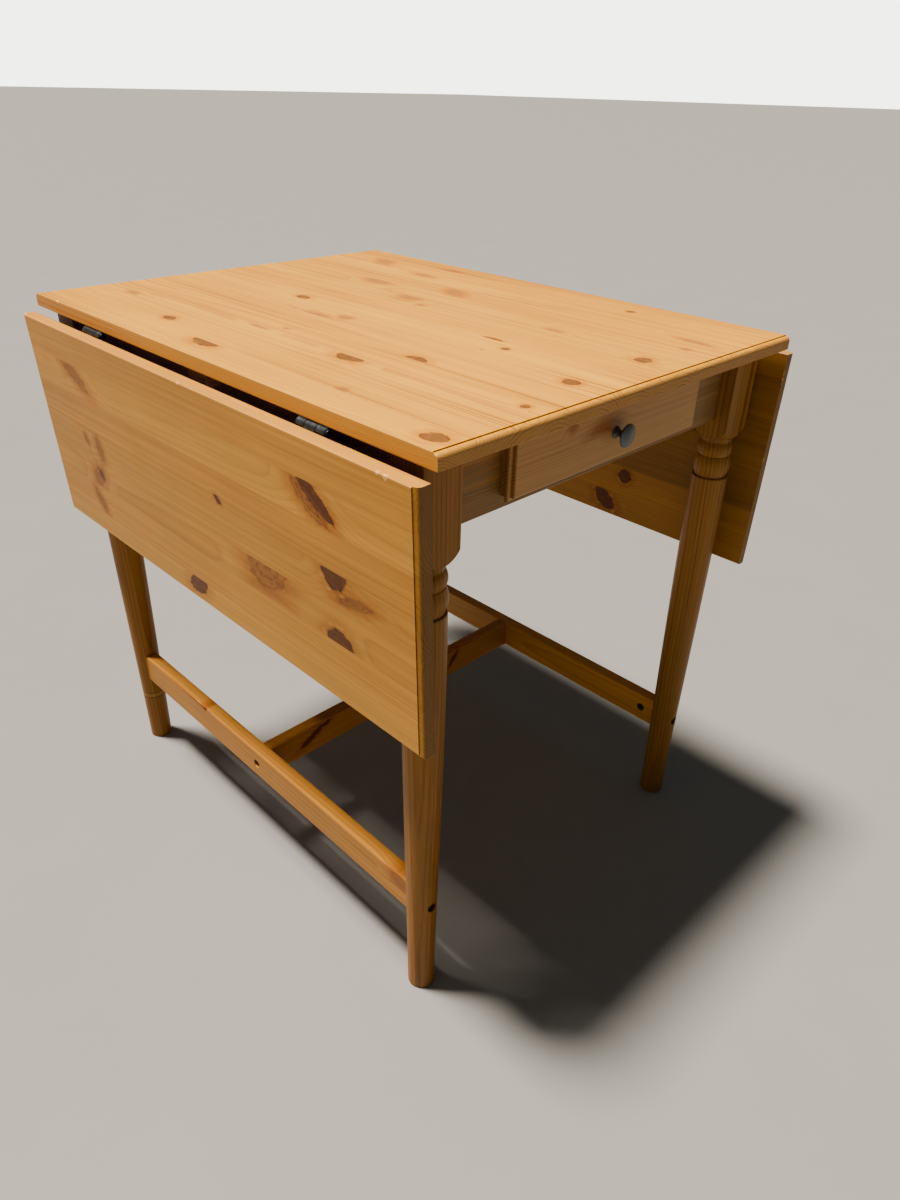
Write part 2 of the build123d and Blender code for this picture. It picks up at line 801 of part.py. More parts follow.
def build_supports():
    """The two pull-out bars, their guides, keepers, stop pins and screws."""
    half = support_width / 2
    guide_start = half + support_play
    guide_end = guide_start + guide_width
    bar_top = underside - support_play
    bar_bottom = bar_top - support_height
    bar = block(support_inner, support_outer, -half, half, bar_bottom, bar_top)
    ends = [e for e in bar.edges() if abs(e.center().X - support_outer) < 0.01]
    bar = fillet(ends, 1.5)
    pin = rod((stop_pin_x, 0, bar_bottom - 12), (0, 0, 1), stop_pin_radius, 28.0)
    bar = bar - rod((stop_pin_x, 0, bar_bottom - 12), (0, 0, 1), stop_pin_radius + 0.02, 28.1)
    save("right_support_bar", bar)
    save("left_support_bar", mirror(bar, Plane.YZ))
    save("support_stop_pins", [pin, mirror(pin, Plane.YZ)])

    guide_middle = (guide_start + guide_end) / 2
    guide_spots = [((x, guide_middle, guide_bottom), (0, 0, 1)) for x in (-150.0, 0.0, 150.0)]
    guide_screws, guide_holes = fit_screws(guide_spots, *guide_screw)
    guide = block(-apron_inner_x, apron_inner_x, guide_start, guide_end, guide_bottom, underside)
    guide = cut(guide, guide_holes)

    keeper_bottom = guide_bottom - keeper_thickness
    keeper_middle = (keeper_inner + keeper_outer) / 2
    keeper_spots = [((keeper_middle, side * guide_middle, keeper_bottom), (0, 0, 1)) for side in (1, -1)]
    keeper_screws, keeper_holes = fit_screws(keeper_spots, *keeper_screw)
    keeper = block(keeper_inner, keeper_outer, -guide_end, guide_end, keeper_bottom, guide_bottom)
    keeper = cut(keeper, keeper_holes)
    for hole in keeper_holes[:1]:
        guide = guide - hole - mirror(hole, Plane.YZ)
    save("rear_support_guide", guide)
    save("front_support_guide", mirror(guide, Plane.XZ))
    save("support_guide_screws", guide_screws + [mirror(one, Plane.XZ) for one in guide_screws])
    save("right_support_keeper", keeper)
    save("left_support_keeper", mirror(keeper, Plane.YZ))
    save("support_keeper_screws", keeper_screws + [mirror(one, Plane.YZ) for one in keeper_screws])
    return guide_holes + [mirror(one, Plane.XZ) for one in guide_holes]


def build_runners():
    """The two L-shaped rails that the drawer slides on, and the screws into the top."""
    web_inner = drawer_half + runner_guide_play
    web_outer = web_inner + runner_web
    ledge_top = drawer_box_bottom - runner_play
    screw_x = web_inner + runner_web / 2
    runner_rear = drawer_rear_y - 2.0
    web = block(web_inner, web_outer, -apron_inner_y, runner_rear, runner_bottom, underside)
    ledge = block(
        web_inner - runner_ledge, web_inner, -apron_inner_y, runner_rear, runner_bottom, ledge_top
    )
    runner = web + ledge
    sunk = underside - runner_screw_sink
    spots = [((screw_x, y, sunk), (0, 0, 1)) for y in runner_screw_y]
    screws, holes = fit_screws(spots, *runner_screw)
    runner = cut(runner, holes)
    mouth = sunk - runner_bottom + 1
    for y in runner_screw_y:
        runner = runner - rod((screw_x, y, runner_bottom - 1), (0, 0, 1), runner_counterbore, mouth)
    shift = Pos(drawer_x, 0, 0)
    save("right_drawer_runner", shift * runner)
    save("left_drawer_runner", shift * mirror(runner, Plane.YZ))
    placed = [shift * one for one in screws] + [shift * mirror(one, Plane.YZ) for one in screws]
    save("drawer_runner_screws", placed)
    return [shift * one for one in holes] + [shift * mirror(one, Plane.YZ) for one in holes]


def build_drawer():
    """The drawer box, its overlay front, knob, stop and fixings."""
    shift = Pos(drawer_x, 0, 0)
    inner = drawer_half - drawer_wood
    groove_low = panel_bottom - 0.1
    groove_high = panel_top + 0.1
    back_front_y = drawer_rear_y - drawer_wood
    back_middle_y = drawer_rear_y - drawer_wood / 2
    side_middle = drawer_half - drawer_wood / 2

    front_dowels = [
        rod((side_middle, front_back_y - 8.0, z), (0, 1, 0), dowel_radius, 26.0) for z in dowel_heights
    ]
    rear_dowels = [
        rod((inner - 14.0, back_middle_y, z), (1, 0, 0), dowel_radius, 25.0) for z in dowel_heights
    ]
    dowels = front_dowels + rear_dowels
    dowels = dowels + [mirror(one, Plane.YZ) for one in dowels]

    side = block(inner, drawer_half, front_back_y, drawer_rear_y, drawer_box_bottom, drawer_box_top)
    side = fillet(long_edges(side, Axis.Y, drawer_box_top), 1.5)
    side = side - block(
        inner - 1, inner + drawer_groove, front_back_y - 1, drawer_rear_y + 1, groove_low, groove_high
    )
    side = cut(side, dowels)
    save("drawer_right_side", shift * side)
    save("drawer_left_side", shift * mirror(side, Plane.YZ))

    stop_spots = [((0, back_middle_y, drawer_box_top + stop_height), (0, 0, -1))]
    stop_screws, stop_holes = fit_screws(stop_spots, *stop_screw)
    panel_spots = [((x, back_middle_y, panel_bottom), (0, 0, 1)) for x in (-90.0, 0.0, 90.0)]
    panel_screws, panel_holes = fit_screws(panel_spots, *panel_screw)

    back = block(-inner, inner, back_front_y, drawer_rear_y, groove_high, drawer_box_top)
    back = cut(back, dowels + stop_holes + panel_holes)
    save("drawer_back", shift * back)

    reach = inner + drawer_groove - 0.2
    panel = block(
        -reach, reach, front_back_y - drawer_groove + 0.2, drawer_rear_y, panel_bottom, panel_top
    )
    save("drawer_bottom", shift * cut(panel, panel_holes))

    face = drawer_front()
    face = face - shift * block(
        -inner - drawer_groove,
        inner + drawer_groove,
        front_back_y - drawer_groove,
        front_back_y + 1,
        groove_low,
        groove_high,
    )
    face = cut(face, [shift * one for one in dowels])
    face = face - rod(
        (drawer_x, front_back_y + 1, knob_z), (0, -1, 0), knob_screw_radius + 0.2, drawer_front_thickness + 2
    )
    save("drawer_front", face)

    bolt = knob_screw()
    save("drawer_knob", knob())
    save("drawer_knob_screw", bolt)

    half = stop_width / 2
    stop = block(-half, half, back_front_y, drawer_rear_y, drawer_box_top, drawer_box_top + stop_height)
    save("drawer_stop", shift * cut(stop, stop_holes))
    save("drawer_stop_screw", [shift * one for one in stop_screws])
    save("drawer_dowels", [shift * one for one in dowels])
    save("drawer_bottom_screws", [shift * one for one in panel_screws])


hinge_holes = build_top_and_leaves()
corner_hole = build_legs_and_stretchers()
angle_bracket_holes = build_aprons(corner_hole)
guide_rail_holes = build_supports()
runner_holes = build_runners()
build_drawer()
top_holes = hinge_holes + angle_bracket_holes + guide_rail_holes + runner_holes
save("centre_top", cut(centre_top(), top_holes))
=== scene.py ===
from math import cos, floor, radians, sin

import bpy
from mathutils import Euler, Matrix, Vector

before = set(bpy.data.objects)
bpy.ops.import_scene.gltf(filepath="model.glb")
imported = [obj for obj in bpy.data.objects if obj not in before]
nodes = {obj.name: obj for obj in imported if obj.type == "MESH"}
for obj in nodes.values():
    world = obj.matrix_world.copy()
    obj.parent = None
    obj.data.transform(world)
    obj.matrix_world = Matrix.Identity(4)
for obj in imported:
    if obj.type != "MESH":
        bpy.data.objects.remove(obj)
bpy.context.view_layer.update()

# A pine drop leaf table. Every shape is a CAD piece; this file gives each piece its finish,
# and sets the floor, the lights and the camera. Lengths in the finishes are in millimetres.

unfinished = set(nodes)
print("frame loaded,", len(nodes), "pieces")

# where the pieces stand, which the finishes follow
table = {
    "halfLength": 390.0,
    "halfWidth": 295.0,
    "boardThick": 17.0,
    "topUnder": 723.0,
    "pinHeight": 717.0,
    "leafSwing": radians(92.0),
    "leafGap": 0.5,
    "leafReach": 290.0,
    "leafUnder": 6.0,
    "legX": 259.0,
    "legY": 337.5,
    "stretcherHeight": 148.5,
    "apronHeight": 679.0,
    "sideApronX": 258.0,
    "endApronY": 332.0,
    "drawerFrontY": -350.0,
    "drawerFrontBottom": 639.5,
    "boxHeight": 660.0,
}


def fromSrgb(red, green, blue):
    # a colour picked on screen, 0 to 255, as the linear values that the nodes want
    parts = [part / 255 for part in (red, green, blue)]
    linear = [part / 12.92 if part <= 0.04045 else ((part + 0.055) / 1.055) ** 2.4 for part in parts]
    return (*linear, 1.0)


class Value:
    # a socket that adds, multiplies and so on, one Math node for each operator
    def __init__(self, tree, socket):
        self.tree = tree
        self.socket = socket

    def math(self, operation, first, second=0.0):
        made = self.tree.nodes.new("ShaderNodeMath")
        made.operation = operation
        for place, term in enumerate((first, second)):
            if isinstance(term, Value):
                self.tree.links.new(term.socket, made.inputs[place])
            else:
                made.inputs[place].default_value = term
        return Value(self.tree, made.outputs[0])

    def __add__(self, other):
        return self.math("ADD", self, other)

    def __radd__(self, other):
        return self.math("ADD", other, self)

    def __sub__(self, other):
        return self.math("SUBTRACT", self, other)

    def __rsub__(self, other):
        return self.math("SUBTRACT", other, self)

    def __mul__(self, other):
        return self.math("MULTIPLY", self, other)

    def __rmul__(self, other):
        return self.math("MULTIPLY", other, self)

    def __truediv__(self, other):
        return self.math("DIVIDE", self, other)

    def __mod__(self, other):
        return self.math("FLOORED_MODULO", self, other)

    def __abs__(self):
        return self.math("ABSOLUTE", self)

    def __floor__(self):
        return self.math("FLOOR", self)

    def least(self, other):
        return self.math("MINIMUM", self, other)

    def most(self, other):
        return self.math("MAXIMUM", self, other)

    def sign(self):
        return self.math("SIGN", self)


class Shading:
    # an emptied node tree, and the method that its nodes come from
    def __init__(self, tree):
        self.tree = tree
        tree.nodes.clear()

    def feed(self, socket, value):
        if isinstance(value, Value):
            self.tree.links.new(value.socket, socket)
        else:
            socket.default_value = value

    def node(self, kind, settings=None, values=None, output=0):
        # with output None it gives back the node itself
        made = self.tree.nodes.new(kind)
        for name, setting in (settings or {}).items():
            if name == "stops":
                self.fillRamp(made.color_ramp, setting)
            else:
                setattr(made, name, setting)
        for name, value in (values or {}).items():
            self.feed(made.inputs[name], value)
        return made if output is None else Value(self.tree, made.outputs[output])

    def fillRamp(self, ramp, stops):
        while len(ramp.elements) < len(stops):
            ramp.elements.new(1.0)
        for element, (position, level) in zip(ramp.elements, stops):
            element.position = position
            element.color = (level, level, level, 1.0)


class Finish(Shading):
    # one material: a principled shader and the nodes that feed it
    def __init__(self, name):
        self.material = bpy.data.materials.new(name)
        self.material.use_nodes = True
        super().__init__(self.material.node_tree)
        self.shader = self.node("ShaderNodeBsdfPrincipled", output=None)
        surface = Value(self.tree, self.shader.outputs[0])
        self.node("ShaderNodeOutputMaterial", None, {0: surface}, None)

    def ramp(self, value, stops):
        return self.node("ShaderNodeValToRGB", {"stops": stops}, {0: value})

    def step(self, value, low, high, first=0.0, last=1.0):
        # a smooth step from first to last as value goes from low to high
        return self.node(
            "ShaderNodeMapRange",
            {"interpolation_type": "SMOOTHSTEP"},
            {0: value, 1: low, 2: high, 3: first, 4: last},
        )

    def mix(self, factor, first, second, blend="MIX"):
        return self.node(
            "ShaderNodeMix",
            {"data_type": "RGBA", "blend_type": blend},
            {0: factor, 6: first, 7: second},
            2,
        )

    def tint(self, factor, colour, by):
        # multiplies a colour by another, more or less
        return self.mix(factor, colour, self.mix(1.0, colour, by, "MULTIPLY"))

    def scale(self, vector, amount):
        return self.node("ShaderNodeVectorMath", {"operation": "SCALE"}, {0: vector, "Scale": amount})

    def vector(self, operation, first, second=(0.0, 0.0, 0.0)):
        return self.node("ShaderNodeVectorMath", {"operation": operation}, {0: first, 1: second})

    def length(self, vector):
        return self.node("ShaderNodeVectorMath", {"operation": "LENGTH"}, {0: vector}, 1)

    def join(self, x, y, z):
        return self.node("ShaderNodeCombineXYZ", None, {0: x, 1: y, 2: z})

    def split(self, vector):
        made = self.node("ShaderNodeSeparateXYZ", None, {0: vector}, None)
        return [Value(self.tree, socket) for socket in made.outputs]

    def noise(self, vector, scale=1.0, detail=2.0, rough=0.5):
        return self.node(
            "ShaderNodeTexNoise",
            {"noise_dimensions": "3D"},
            {"Vector": vector, "Scale": scale, "Detail": detail, "Roughness": rough},
        )

    def chance(self, first, second):
        # three steady random numbers for a pair of whole numbers
        pair = self.join(first, second, 0.0)
        made = self.node("ShaderNodeTexWhiteNoise", {"noise_dimensions": "2D"}, {0: pair}, 1)
        return self.split(made)

    def place(self):
        # where the point is, in millimetres
        found = self.node("ShaderNodeTexCoord", None, None, "Object")
        return self.split(self.scale(found, 1000.0))

    def facing(self):
        return self.split(self.node("ShaderNodeTexCoord", None, None, "Normal"))

    def finish(self, colour, rough, height, gloss, metallic=0.0, coat=0.0):
        bump = {"Strength": gloss["bump"], "Distance": gloss["depth"], "Height": height}
        self.feed(self.shader.inputs["Base Color"], colour)
        self.feed(self.shader.inputs["Roughness"], rough)
        self.feed(self.shader.inputs["Metallic"], metallic)
        self.feed(self.shader.inputs["Coat Weight"], coat)
        self.shader.inputs["Coat Roughness"].default_value = gloss["coatRough"]
        self.shader.inputs["Specular IOR Level"].default_value = gloss["shine"]
        self.feed(self.shader.inputs["Normal"], self.node("ShaderNodeBump", None, bump))
        return self.material


def dress(names, material):
    # puts a finish on some pieces
    for name in names:
        slots = nodes[name].data.materials
        slots.clear()
        slots.append(material)
        unfinished.discard(name)


# bump depths are in metres
woodGloss = {"bump": 0.5, "depth": 0.00016, "coatRough": 0.22, "shine": 0.13}
metalGloss = {"bump": 0.6, "coatRough": 0.22, "shine": 0.5}

# honey stained pine, the colours all boards share
honey = {
    "early": fromSrgb(222, 157, 56),
    "late": fromSrgb(184, 114, 36),
    "red": fromSrgb(250, 214, 196),
    "knot": fromSrgb(92, 42, 4),
    "knotRing": fromSrgb(36, 14, 2),
    "paleKnot": fromSrgb(132, 80, 26),
    "halo": fromSrgb(216, 178, 128),
    "glow": fromSrgb(232, 172, 86),
    "glue": fromSrgb(150, 92, 40),
    "end": fromSrgb(172, 124, 68),
    "endLate": fromSrgb(116, 78, 42),
    # greyer, less saturated colours for the aprons and the drawer front: painted cool shade
    "paintedShadeDull": fromSrgb(206, 156, 92),
    "paintedShadeDullLate": fromSrgb(168, 118, 64),
    # bare wood, for the chips and for the pale edge band that is partly a painted highlight
    "worn": fromSrgb(238, 192, 124),
}
staveWidth = 42.14

# each noise in the wood: turns a mm along, across and through it, how far the stave's number
# and the seed shift it, its detail and its roughness
woodNoise = {
    "drift": (0.0014, 0.004, 0.0, 7.3, 1.0, 2.0, 0.5),
    "waver": (0.007, 0.07, 0.07, 3.1, 0.0, 3.0, 0.5),
    "wobble": (0.1, 0.15, 0.0, 1.0, 1.0, 3.0, 0.5),
    "grit": (0.22, 0.6, 0.0, 1.0, 1.0, 3.0, 0.6),
    "fibre": (0.016, 1.4, 1.4, 0.0, 0.0, 4.0, 0.62),
    "band": (0.0024, 0.1, 0.1, 5.0, 0.0, 3.0, 0.55),
    "blotch": (0.006, 0.012, 0.02, 0.0, 1.0, 2.0, 0.5),
    "streak": (0.004, 0.5, 0.5, 9.0, 0.0, 2.0, 0.5),
    "vein": (0.0016, 0.62, 0.62, 4.7, 0.0, 3.0, 0.6),
    "veined": (0.002, 0.016, 0.0, 1.0, 1.0, 1.0, 0.5),
    "dash": (0.045, 2.6, 2.6, 1.0, 0.0, 1.0, 0.5),
    "pores": (1.5, 1.5, 1.5, 0.0, 0.0, 3.0, 0.7),
}
# how the log is cut: how far its pith lies from each stave, and how its rings run
log = {
    "side": 74.0,
    "sideDrift": 34.0,
    "below": 10.0,
    "belowSpread": 44.0,
    "belowDrift": 60.0,
    "waver": 1.8,
    "pitch": 2.9,
    "pitchLeast": 0.7,
    "pitchSpread": 0.8,
    "year": [(0.0, 0.5), (0.07, 0.06), (0.45, 0.1), (0.78, 0.5), (0.93, 1.0), (1.0, 0.5)],
    "yearLeast": 0.4,
    "knotBend": 4.2,
    "knotReach": (0.5, 3.8),
    "secondSeed": 31.0,
}
# how strongly each part of the figure shows, and the noise levels between which it comes in
figure = {
    "fibre": 0.2,
    "streak": 0.22,
    "blotch": 0.3,
    "underFade": 2.0,
    "vein": (0.5, 0.64),
    "veined": (0.42, 0.6),
    "dash": (0.66, 0.74),
    "dashDepth": 0.35,
    "glueHalf": 0.3,
    "glueDepth": 0.3,
    "glueGroove": 0.4,
    "endTurn": (0.5, 0.9),
    "endDepth": 0.85,
    "endPlain": 0.75,
    "endPores": 0.5,
    "endRough": 0.14,
    "lateHeight": 0.5,
    "fibreHeight": 0.5,
    "lateRough": 0.03,
    "scuffScale": 0.02,
    "scuffRough": 0.18,
}
# both knots are drawn by their distance: 0 at the middle, 1 at the rim
faintKnot = {
    "ragged": 0.8,
    "lines": (2.7, 2.1),
    "lineStops": [(0.0, 1.0), (0.18, 0.2), (0.6, 0.05), (0.86, 0.6), (1.0, 1.0)],
    "inside": (0.6, 1.15),
    "base": 0.36,
    "lineDepth": 0.6,
    "halo": (0.9, 2.2),
    "haloDepth": 0.55,
}
darkKnot = {
    "point": 0.45,
    "ragged": 0.34,
    "frayed": 0.14,
    "lines": (2.3, 1.6),
    "lineStops": [(0.0, 0.8), (0.2, 0.1), (0.6, 0.2), (1.0, 0.8)],
    "lineDepth": 0.4,
    "inside": (0.86, 1.06),
    "ring": 0.94,
    "ringHalf": (0.02, 0.2),
    "ringBreaks": (0.34, 0.64),
    "ringLeast": 0.1,
    "ringDepth": 0.7,
    "sliver": 1.3,
    "sliverHalf": (0.04, 0.26),
    "sliverBreaks": (0.5, 0.66),
    "sliverDepth": 0.3,
    "halo": (1.0, 2.4),
    "haloDepth": 0.55,
    "pale": (0.46, 0.74),
    "paleDepth": 0.7,
    "heartPlain": 0.6,
    "heartGrit": 0.8,
    "ringGroove": 0.6,
    "insideGroove": 0.15,
}


def nearestKnot(finish, point, knots, start, lone):
    # how far off the nearest knot of the same stave is; a knot has pointed ends
    nose = darkKnot["point"]
    stretch = (1 + 2 * nose) ** 0.5
    nearest = None
    for along, across, length, width, turn in knots:
        home = lone if lone else floor((across - start) / staveWidth)
        local = finish.node(
            "ShaderNodeMapping",
            {"vector_type": "TEXTURE"},
            {
                "Vector": point,
                "Location": (along, across, home * 1000.0),
                "Rotation": (0, 0, radians(turn)),
                "Scale": (length / 2 / stretch, width / 2, 1.0),
            },
        )
        folded = finish.vector("ABSOLUTE", local)
        away = finish.length(finish.vector("ADD", folded, (0.0, nose, 0.0)))
        nearest = away if nearest is None else nearest.least(away)
    return nearest - nose


def addFaintKnot(finish, look, away, wobble, colour):
    # brown growth lines that turn about a knot just under the surface
    edge = away + (wobble - 0.5) * faintKnot["ragged"]
    turns, shift = faintKnot["lines"]
    lines = finish.ramp((away * turns + wobble * shift) % 1.0, faintKnot["lineStops"])
    inside = finish.step(edge, *faintKnot["inside"], 1.0, 0.0)
    around = finish.step(edge, *faintKnot["halo"], faintKnot["haloDepth"], 0.0)
    colour = finish.tint(around, colour, honey["halo"])
    depth = inside * (faintKnot["base"] + faintKnot["lineDepth"] * lines)
    return finish.mix(depth, colour, look["paleKnot"])


def addDarkKnot(finish, look, away, wobble, grit, colour, height):
    # a red brown heart, a thin black ring, a pale sliver outside it and a darker halo round all
    edge = away + (wobble - 0.5) * darkKnot["ragged"] + (grit - 0.5) * darkKnot["frayed"]
    turns, shift = darkKnot["lines"]
    lines = finish.ramp((away * turns + wobble * shift) % 1.0, darkKnot["lineStops"])
    inside = finish.step(edge, *darkKnot["inside"], 1.0, 0.0)
    ring = finish.step(abs(edge - darkKnot["ring"]), *darkKnot["ringHalf"], 1.0, 0.0)
    ring = ring * finish.step(wobble, *darkKnot["ringBreaks"], 1.0, darkKnot["ringLeast"])
    sliver = finish.step(abs(edge - darkKnot["sliver"]), *darkKnot["sliverHalf"], 1.0, 0.0)
    sliver = sliver * finish.step(wobble, *darkKnot["sliverBreaks"])
    around = finish.step(edge, *darkKnot["halo"], darkKnot["haloDepth"], 0.0)
    colour = finish.tint(around, colour, honey["halo"])
    colour = finish.mix(sliver * darkKnot["sliverDepth"], colour, honey["glow"])
    heart = finish.mix(lines * darkKnot["lineDepth"], look["knot"], look["knotRing"])
    pale = finish.step(wobble, *darkKnot["pale"], 0.0, darkKnot["paleDepth"])
    heart = finish.mix(pale, heart, look["paleKnot"])
    heart = finish.scale(heart, darkKnot["heartPlain"] + darkKnot["heartGrit"] * grit)
    colour = finish.mix(inside * look["knotDepth"], colour, heart)
    colour = finish.mix(ring * darkKnot["ringDepth"], colour, look["knotRing"])
    return colour, height - ring * darkKnot["ringGroove"] - inside * darkKnot["insideGroove"]


# the stain is rubbed lighter along a board's edges, and here and there chipped to bare wood; the
# lighter edge band is also a painted edge highlight
wearing = {
    "rubNoise": (0.03, 3.0, 0.6),
    "biteNoise": (0.3, 4.0, 0.7),
    "rubAndHighlightWidth": (0.1, 1.3),
    "rubAndHighlightDepth": 0.2,
    "rubAndHighlightRagged": 0.8,
    "reachWhere": (0.56, 0.72, 0.0, 1.5),
    "reachRagged": (0.42, 0.66, 0.0, 1.4),
    "reachFade": -0.5,
    "chipRagged": 2.4,
    "chipEdge": (0.7, 1.0),
    "chipDepth": 0.7,
    "chipGroove": 0.8,
}


def wear(finish, look, own, world, colour, height):
    gaps = [(spot - low).least(high - spot) for spot, low, high in zip(own, *look["edges"])]
    most = gaps[0].most(gaps[1])
    edge = gaps[0].least(gaps[1]).most(most.least(gaps[2]))
    place = finish.join(*world)
    rub = finish.noise(place, *wearing["rubNoise"])
    bite = finish.noise(place, *wearing["biteNoise"])
    # every edge is painted paler: partly rubbed stain, partly a painted highlight along the arris
    soft = finish.step(edge + (bite - 0.5) * wearing["rubAndHighlightRagged"], *wearing["rubAndHighlightWidth"], 1.0, 0.0)
    colour = finish.mix(soft * wearing["rubAndHighlightDepth"], colour, honey["worn"])
    reach = finish.step(rub, *wearing["reachWhere"]) * finish.step(bite, *wearing["reachRagged"])
    chips = finish.step(edge - reach, wearing["reachFade"], 0.0, 1.0, 0.0)
    ragged = (bite - 0.5) * wearing["chipRagged"]
    for spot, size in look["chips"]:
        away = finish.length(finish.vector("SUBTRACT", finish.join(*own), spot)) / size
        chips = chips.most(finish.step(away + ragged, *wearing["chipEdge"], 1.0, 0.0))
    colour = finish.mix(chips * wearing["chipDepth"], colour, honey["worn"])
    return colour, height - chips * wearing["chipGroove"]


def pine(name, look):
    # look says which way the grain runs, how the staves lie and where the knots are
    finish = Finish(name)
    x, y, z = finish.place()
    along, across, deep = look["axes"](x, y, z)
    start = look["start"]
    seed = look["seed"]
    glued = "home" not in look
    home = floor((across - start) / look["width"]) if glued else look["home"](x, y, z)

    def noise(kind):
        alongScale, acrossScale, deepScale, homeShift, seedShift, detail, rough = woodNoise[kind]
        parts = [(deep, deepScale), (home, homeShift), (seed, seedShift)]
        terms = [part if factor == 1.0 else part * factor for part, factor in parts if factor]
        third = sum(terms[1:], terms[0])
        point = finish.join(along * alongScale, across * acrossScale, third)
        return finish.noise(point, 1.0, detail, rough)

    # each stave is cut from its own place in a log, so its rings turn about its own pith
    toneChance, sideChance, depthChance = finish.chance(home, seed)
    redChance, pitchChance, warpChance = finish.chance(home, seed + log["secondSeed"])
    drift = noise("drift")
    waver = noise("waver")
    middle = start + (home + 0.5) * look["width"] if glued else 0.0
    offside = across - middle + (sideChance - 0.5) * log["side"] + (drift - 0.5) * log["sideDrift"]
    below = deep + log["below"] + depthChance * log["belowSpread"]
    below = below + (warpChance - 0.5) * (drift - 0.5) * log["belowDrift"]
    radius = finish.length(finish.join(offside, below, 0.0)) + (waver - 0.5) * log["waver"]

    # the rings bend round each knot
    point = finish.join(along, across, home * 1000.0)
    wobble = noise("wobble")
    lone = look.get("knotsIn", 0)
    dark = nearestKnot(finish, point, look["knots"], start, lone) if look["knots"] else None
    pale = nearestKnot(finish, point, look["paleKnots"], start, lone) if look["paleKnots"] else None
    for away in (dark, pale):
        if away is not None:
            radius = radius + finish.step(away, *log["knotReach"], log["knotBend"], 0.0)

    ringPitch = log["pitch"] * look.get("pitch", 1.0)
    turns = radius / (ringPitch * (log["pitchLeast"] + log["pitchSpread"] * pitchChance))
    late = finish.ramp(turns % 1.0, log["year"])
    year = finish.chance(floor(turns), home)[0]
    late = late * (log["yearLeast"] + (1 - log["yearLeast"]) * year)

    # fibre, and the long soft bands that stain leaves along the grain
    fibre = noise("fibre")
    colour = finish.mix(late * look["contrast"], look["early"], look["late"])
    colour = finish.tint(redChance * look["redSpread"], colour, honey["red"])
    tone = 1.0 + (toneChance - 0.5) * look["toneSpread"] + (fibre - 0.5) * figure["fibre"]
    tone = tone + (noise("band") - 0.5) * look["bands"] + (noise("streak") - 0.5) * figure["streak"]
    tone = tone + (noise("blotch") - 0.5) * figure["blotch"]
    # undersides are darkened: painted shade where they lie in shadow
    if "under" in look:
        low = look["under"]
        tone = tone * finish.step(deep, low, low + figure["underFade"], look["underShade"], 1.0)
    # each piece's shade value scales its tone; values below 1 on pieces that sit in shadow are
    # painted shade
    colour = finish.scale(colour, tone * look["shade"])
    veined = finish.step(noise("veined"), *figure["veined"])
    veins = finish.step(noise("vein"), *figure["vein"]) * veined * look["veins"]
    colour = finish.mix(veins, colour, look["vein"])

    # dark dashes: resin canals cut along the grain
    dashes = finish.step(noise("dash"), *figure["dash"]) * figure["dashDepth"]
    colour = finish.mix(dashes, colour, look["late"])

    height = late * figure["lateHeight"] + fibre * figure["fibreHeight"]
    if pale is not None:
        colour = addFaintKnot(finish, look, pale, wobble, colour)
    if dark is not None:
        colour, height = addDarkKnot(finish, look, dark, wobble, noise("grit"), colour, height)
    if glued:
        seam = abs((across - start) / look["width"] - home - 0.5)
        glueLine = finish.step(seam, 0.5 - figure["glueHalf"] / look["width"], 0.5)
        colour = finish.mix(glueLine * figure["glueDepth"], colour, honey["glue"])
        height = height - glueLine * figure["glueGroove"]

    # end grain drinks more stain and shows its rings more plainly
    ends = finish.facing()["xyz".index(look["grain"])]
    endOn = finish.step(abs(ends), *figure["endTurn"])
    endTone = finish.mix(late, honey["end"], honey["endLate"])
    endTint = figure["endPlain"] + figure["endPores"] * noise("pores")
    endTone = finish.scale(endTone, endTint * look["shade"] * look.get("endShade", 1.0))
    colour = finish.mix(endOn * figure["endDepth"], colour, endTone)
    if "mark" in look:
        colour = addLatheMark(finish, look["mark"], along, x, y, colour)

    scuffScale = figure["scuffScale"]
    scuff = finish.noise(finish.join(x * scuffScale, y * scuffScale, z * scuffScale), 1.0, 4.0, 0.6)
    rough = look["rough"] + (scuff - 0.5) * figure["scuffRough"]
    rough = rough + endOn * figure["endRough"] + late * figure["lateRough"]
    if "edges" in look:
        colour, height = wear(finish, look, (along, across, deep), (x, y, z), colour, height)
    return finish.finish(colour, rough, height, woodGloss, 0.0, look["coat"])


def addLatheMark(finish, mark, height, x, y, colour):
    # the rear left leg alone has a pale ring between two thin dark lines
    far = abs(height - mark["height"])
    rearLeft = (x.sign() - 1.0) * (y.sign() + 1.0) * -0.25
    ring = finish.step(far, *mark["ringHalf"], mark["ringDepth"], 0.0)
    colour = finish.mix(ring * rearLeft, colour, honey["glow"])
    lines = finish.step(abs(far - mark["lines"]), *mark["lineHalf"], mark["lineDepth"], 0.0)
    return finish.mix(lines * rearLeft, colour, honey["knotRing"])


def leafAxes(side):
    # the leaf's own directions: along the hinge, out from the pin, and up through its thickness
    turnCos = cos(table["leafSwing"])
    turnSin = sin(table["leafSwing"])

    def axes(x, y, z):
        outX = x * side - table["halfWidth"]
        upZ = z - table["pinHeight"]
        return y, outX * turnCos - upZ * turnSin, outX * turnSin + upZ * turnCos

    return axes


def oneStave(x, y, z):
    return 1.0


print("pine ready")

# what every board starts from
boardLook = {
    "grain": "y",
    "width": staveWidth,
    "contrast": 0.62,
    "bands": 0.42,
    "veins": 0.42,
    "vein": honey["late"],
    "toneSpread": 0.14,
    "redSpread": 0.26,
    "early": honey["early"],
    "late": honey["late"],
    "knot": honey["knot"],
    "knotDepth": 0.95,
    "knotRing": honey["knotRing"],
    "paleKnot": honey["paleKnot"],
    "rough": 0.4,
    "coat": 0.04,
    "shade": 1.0,
}

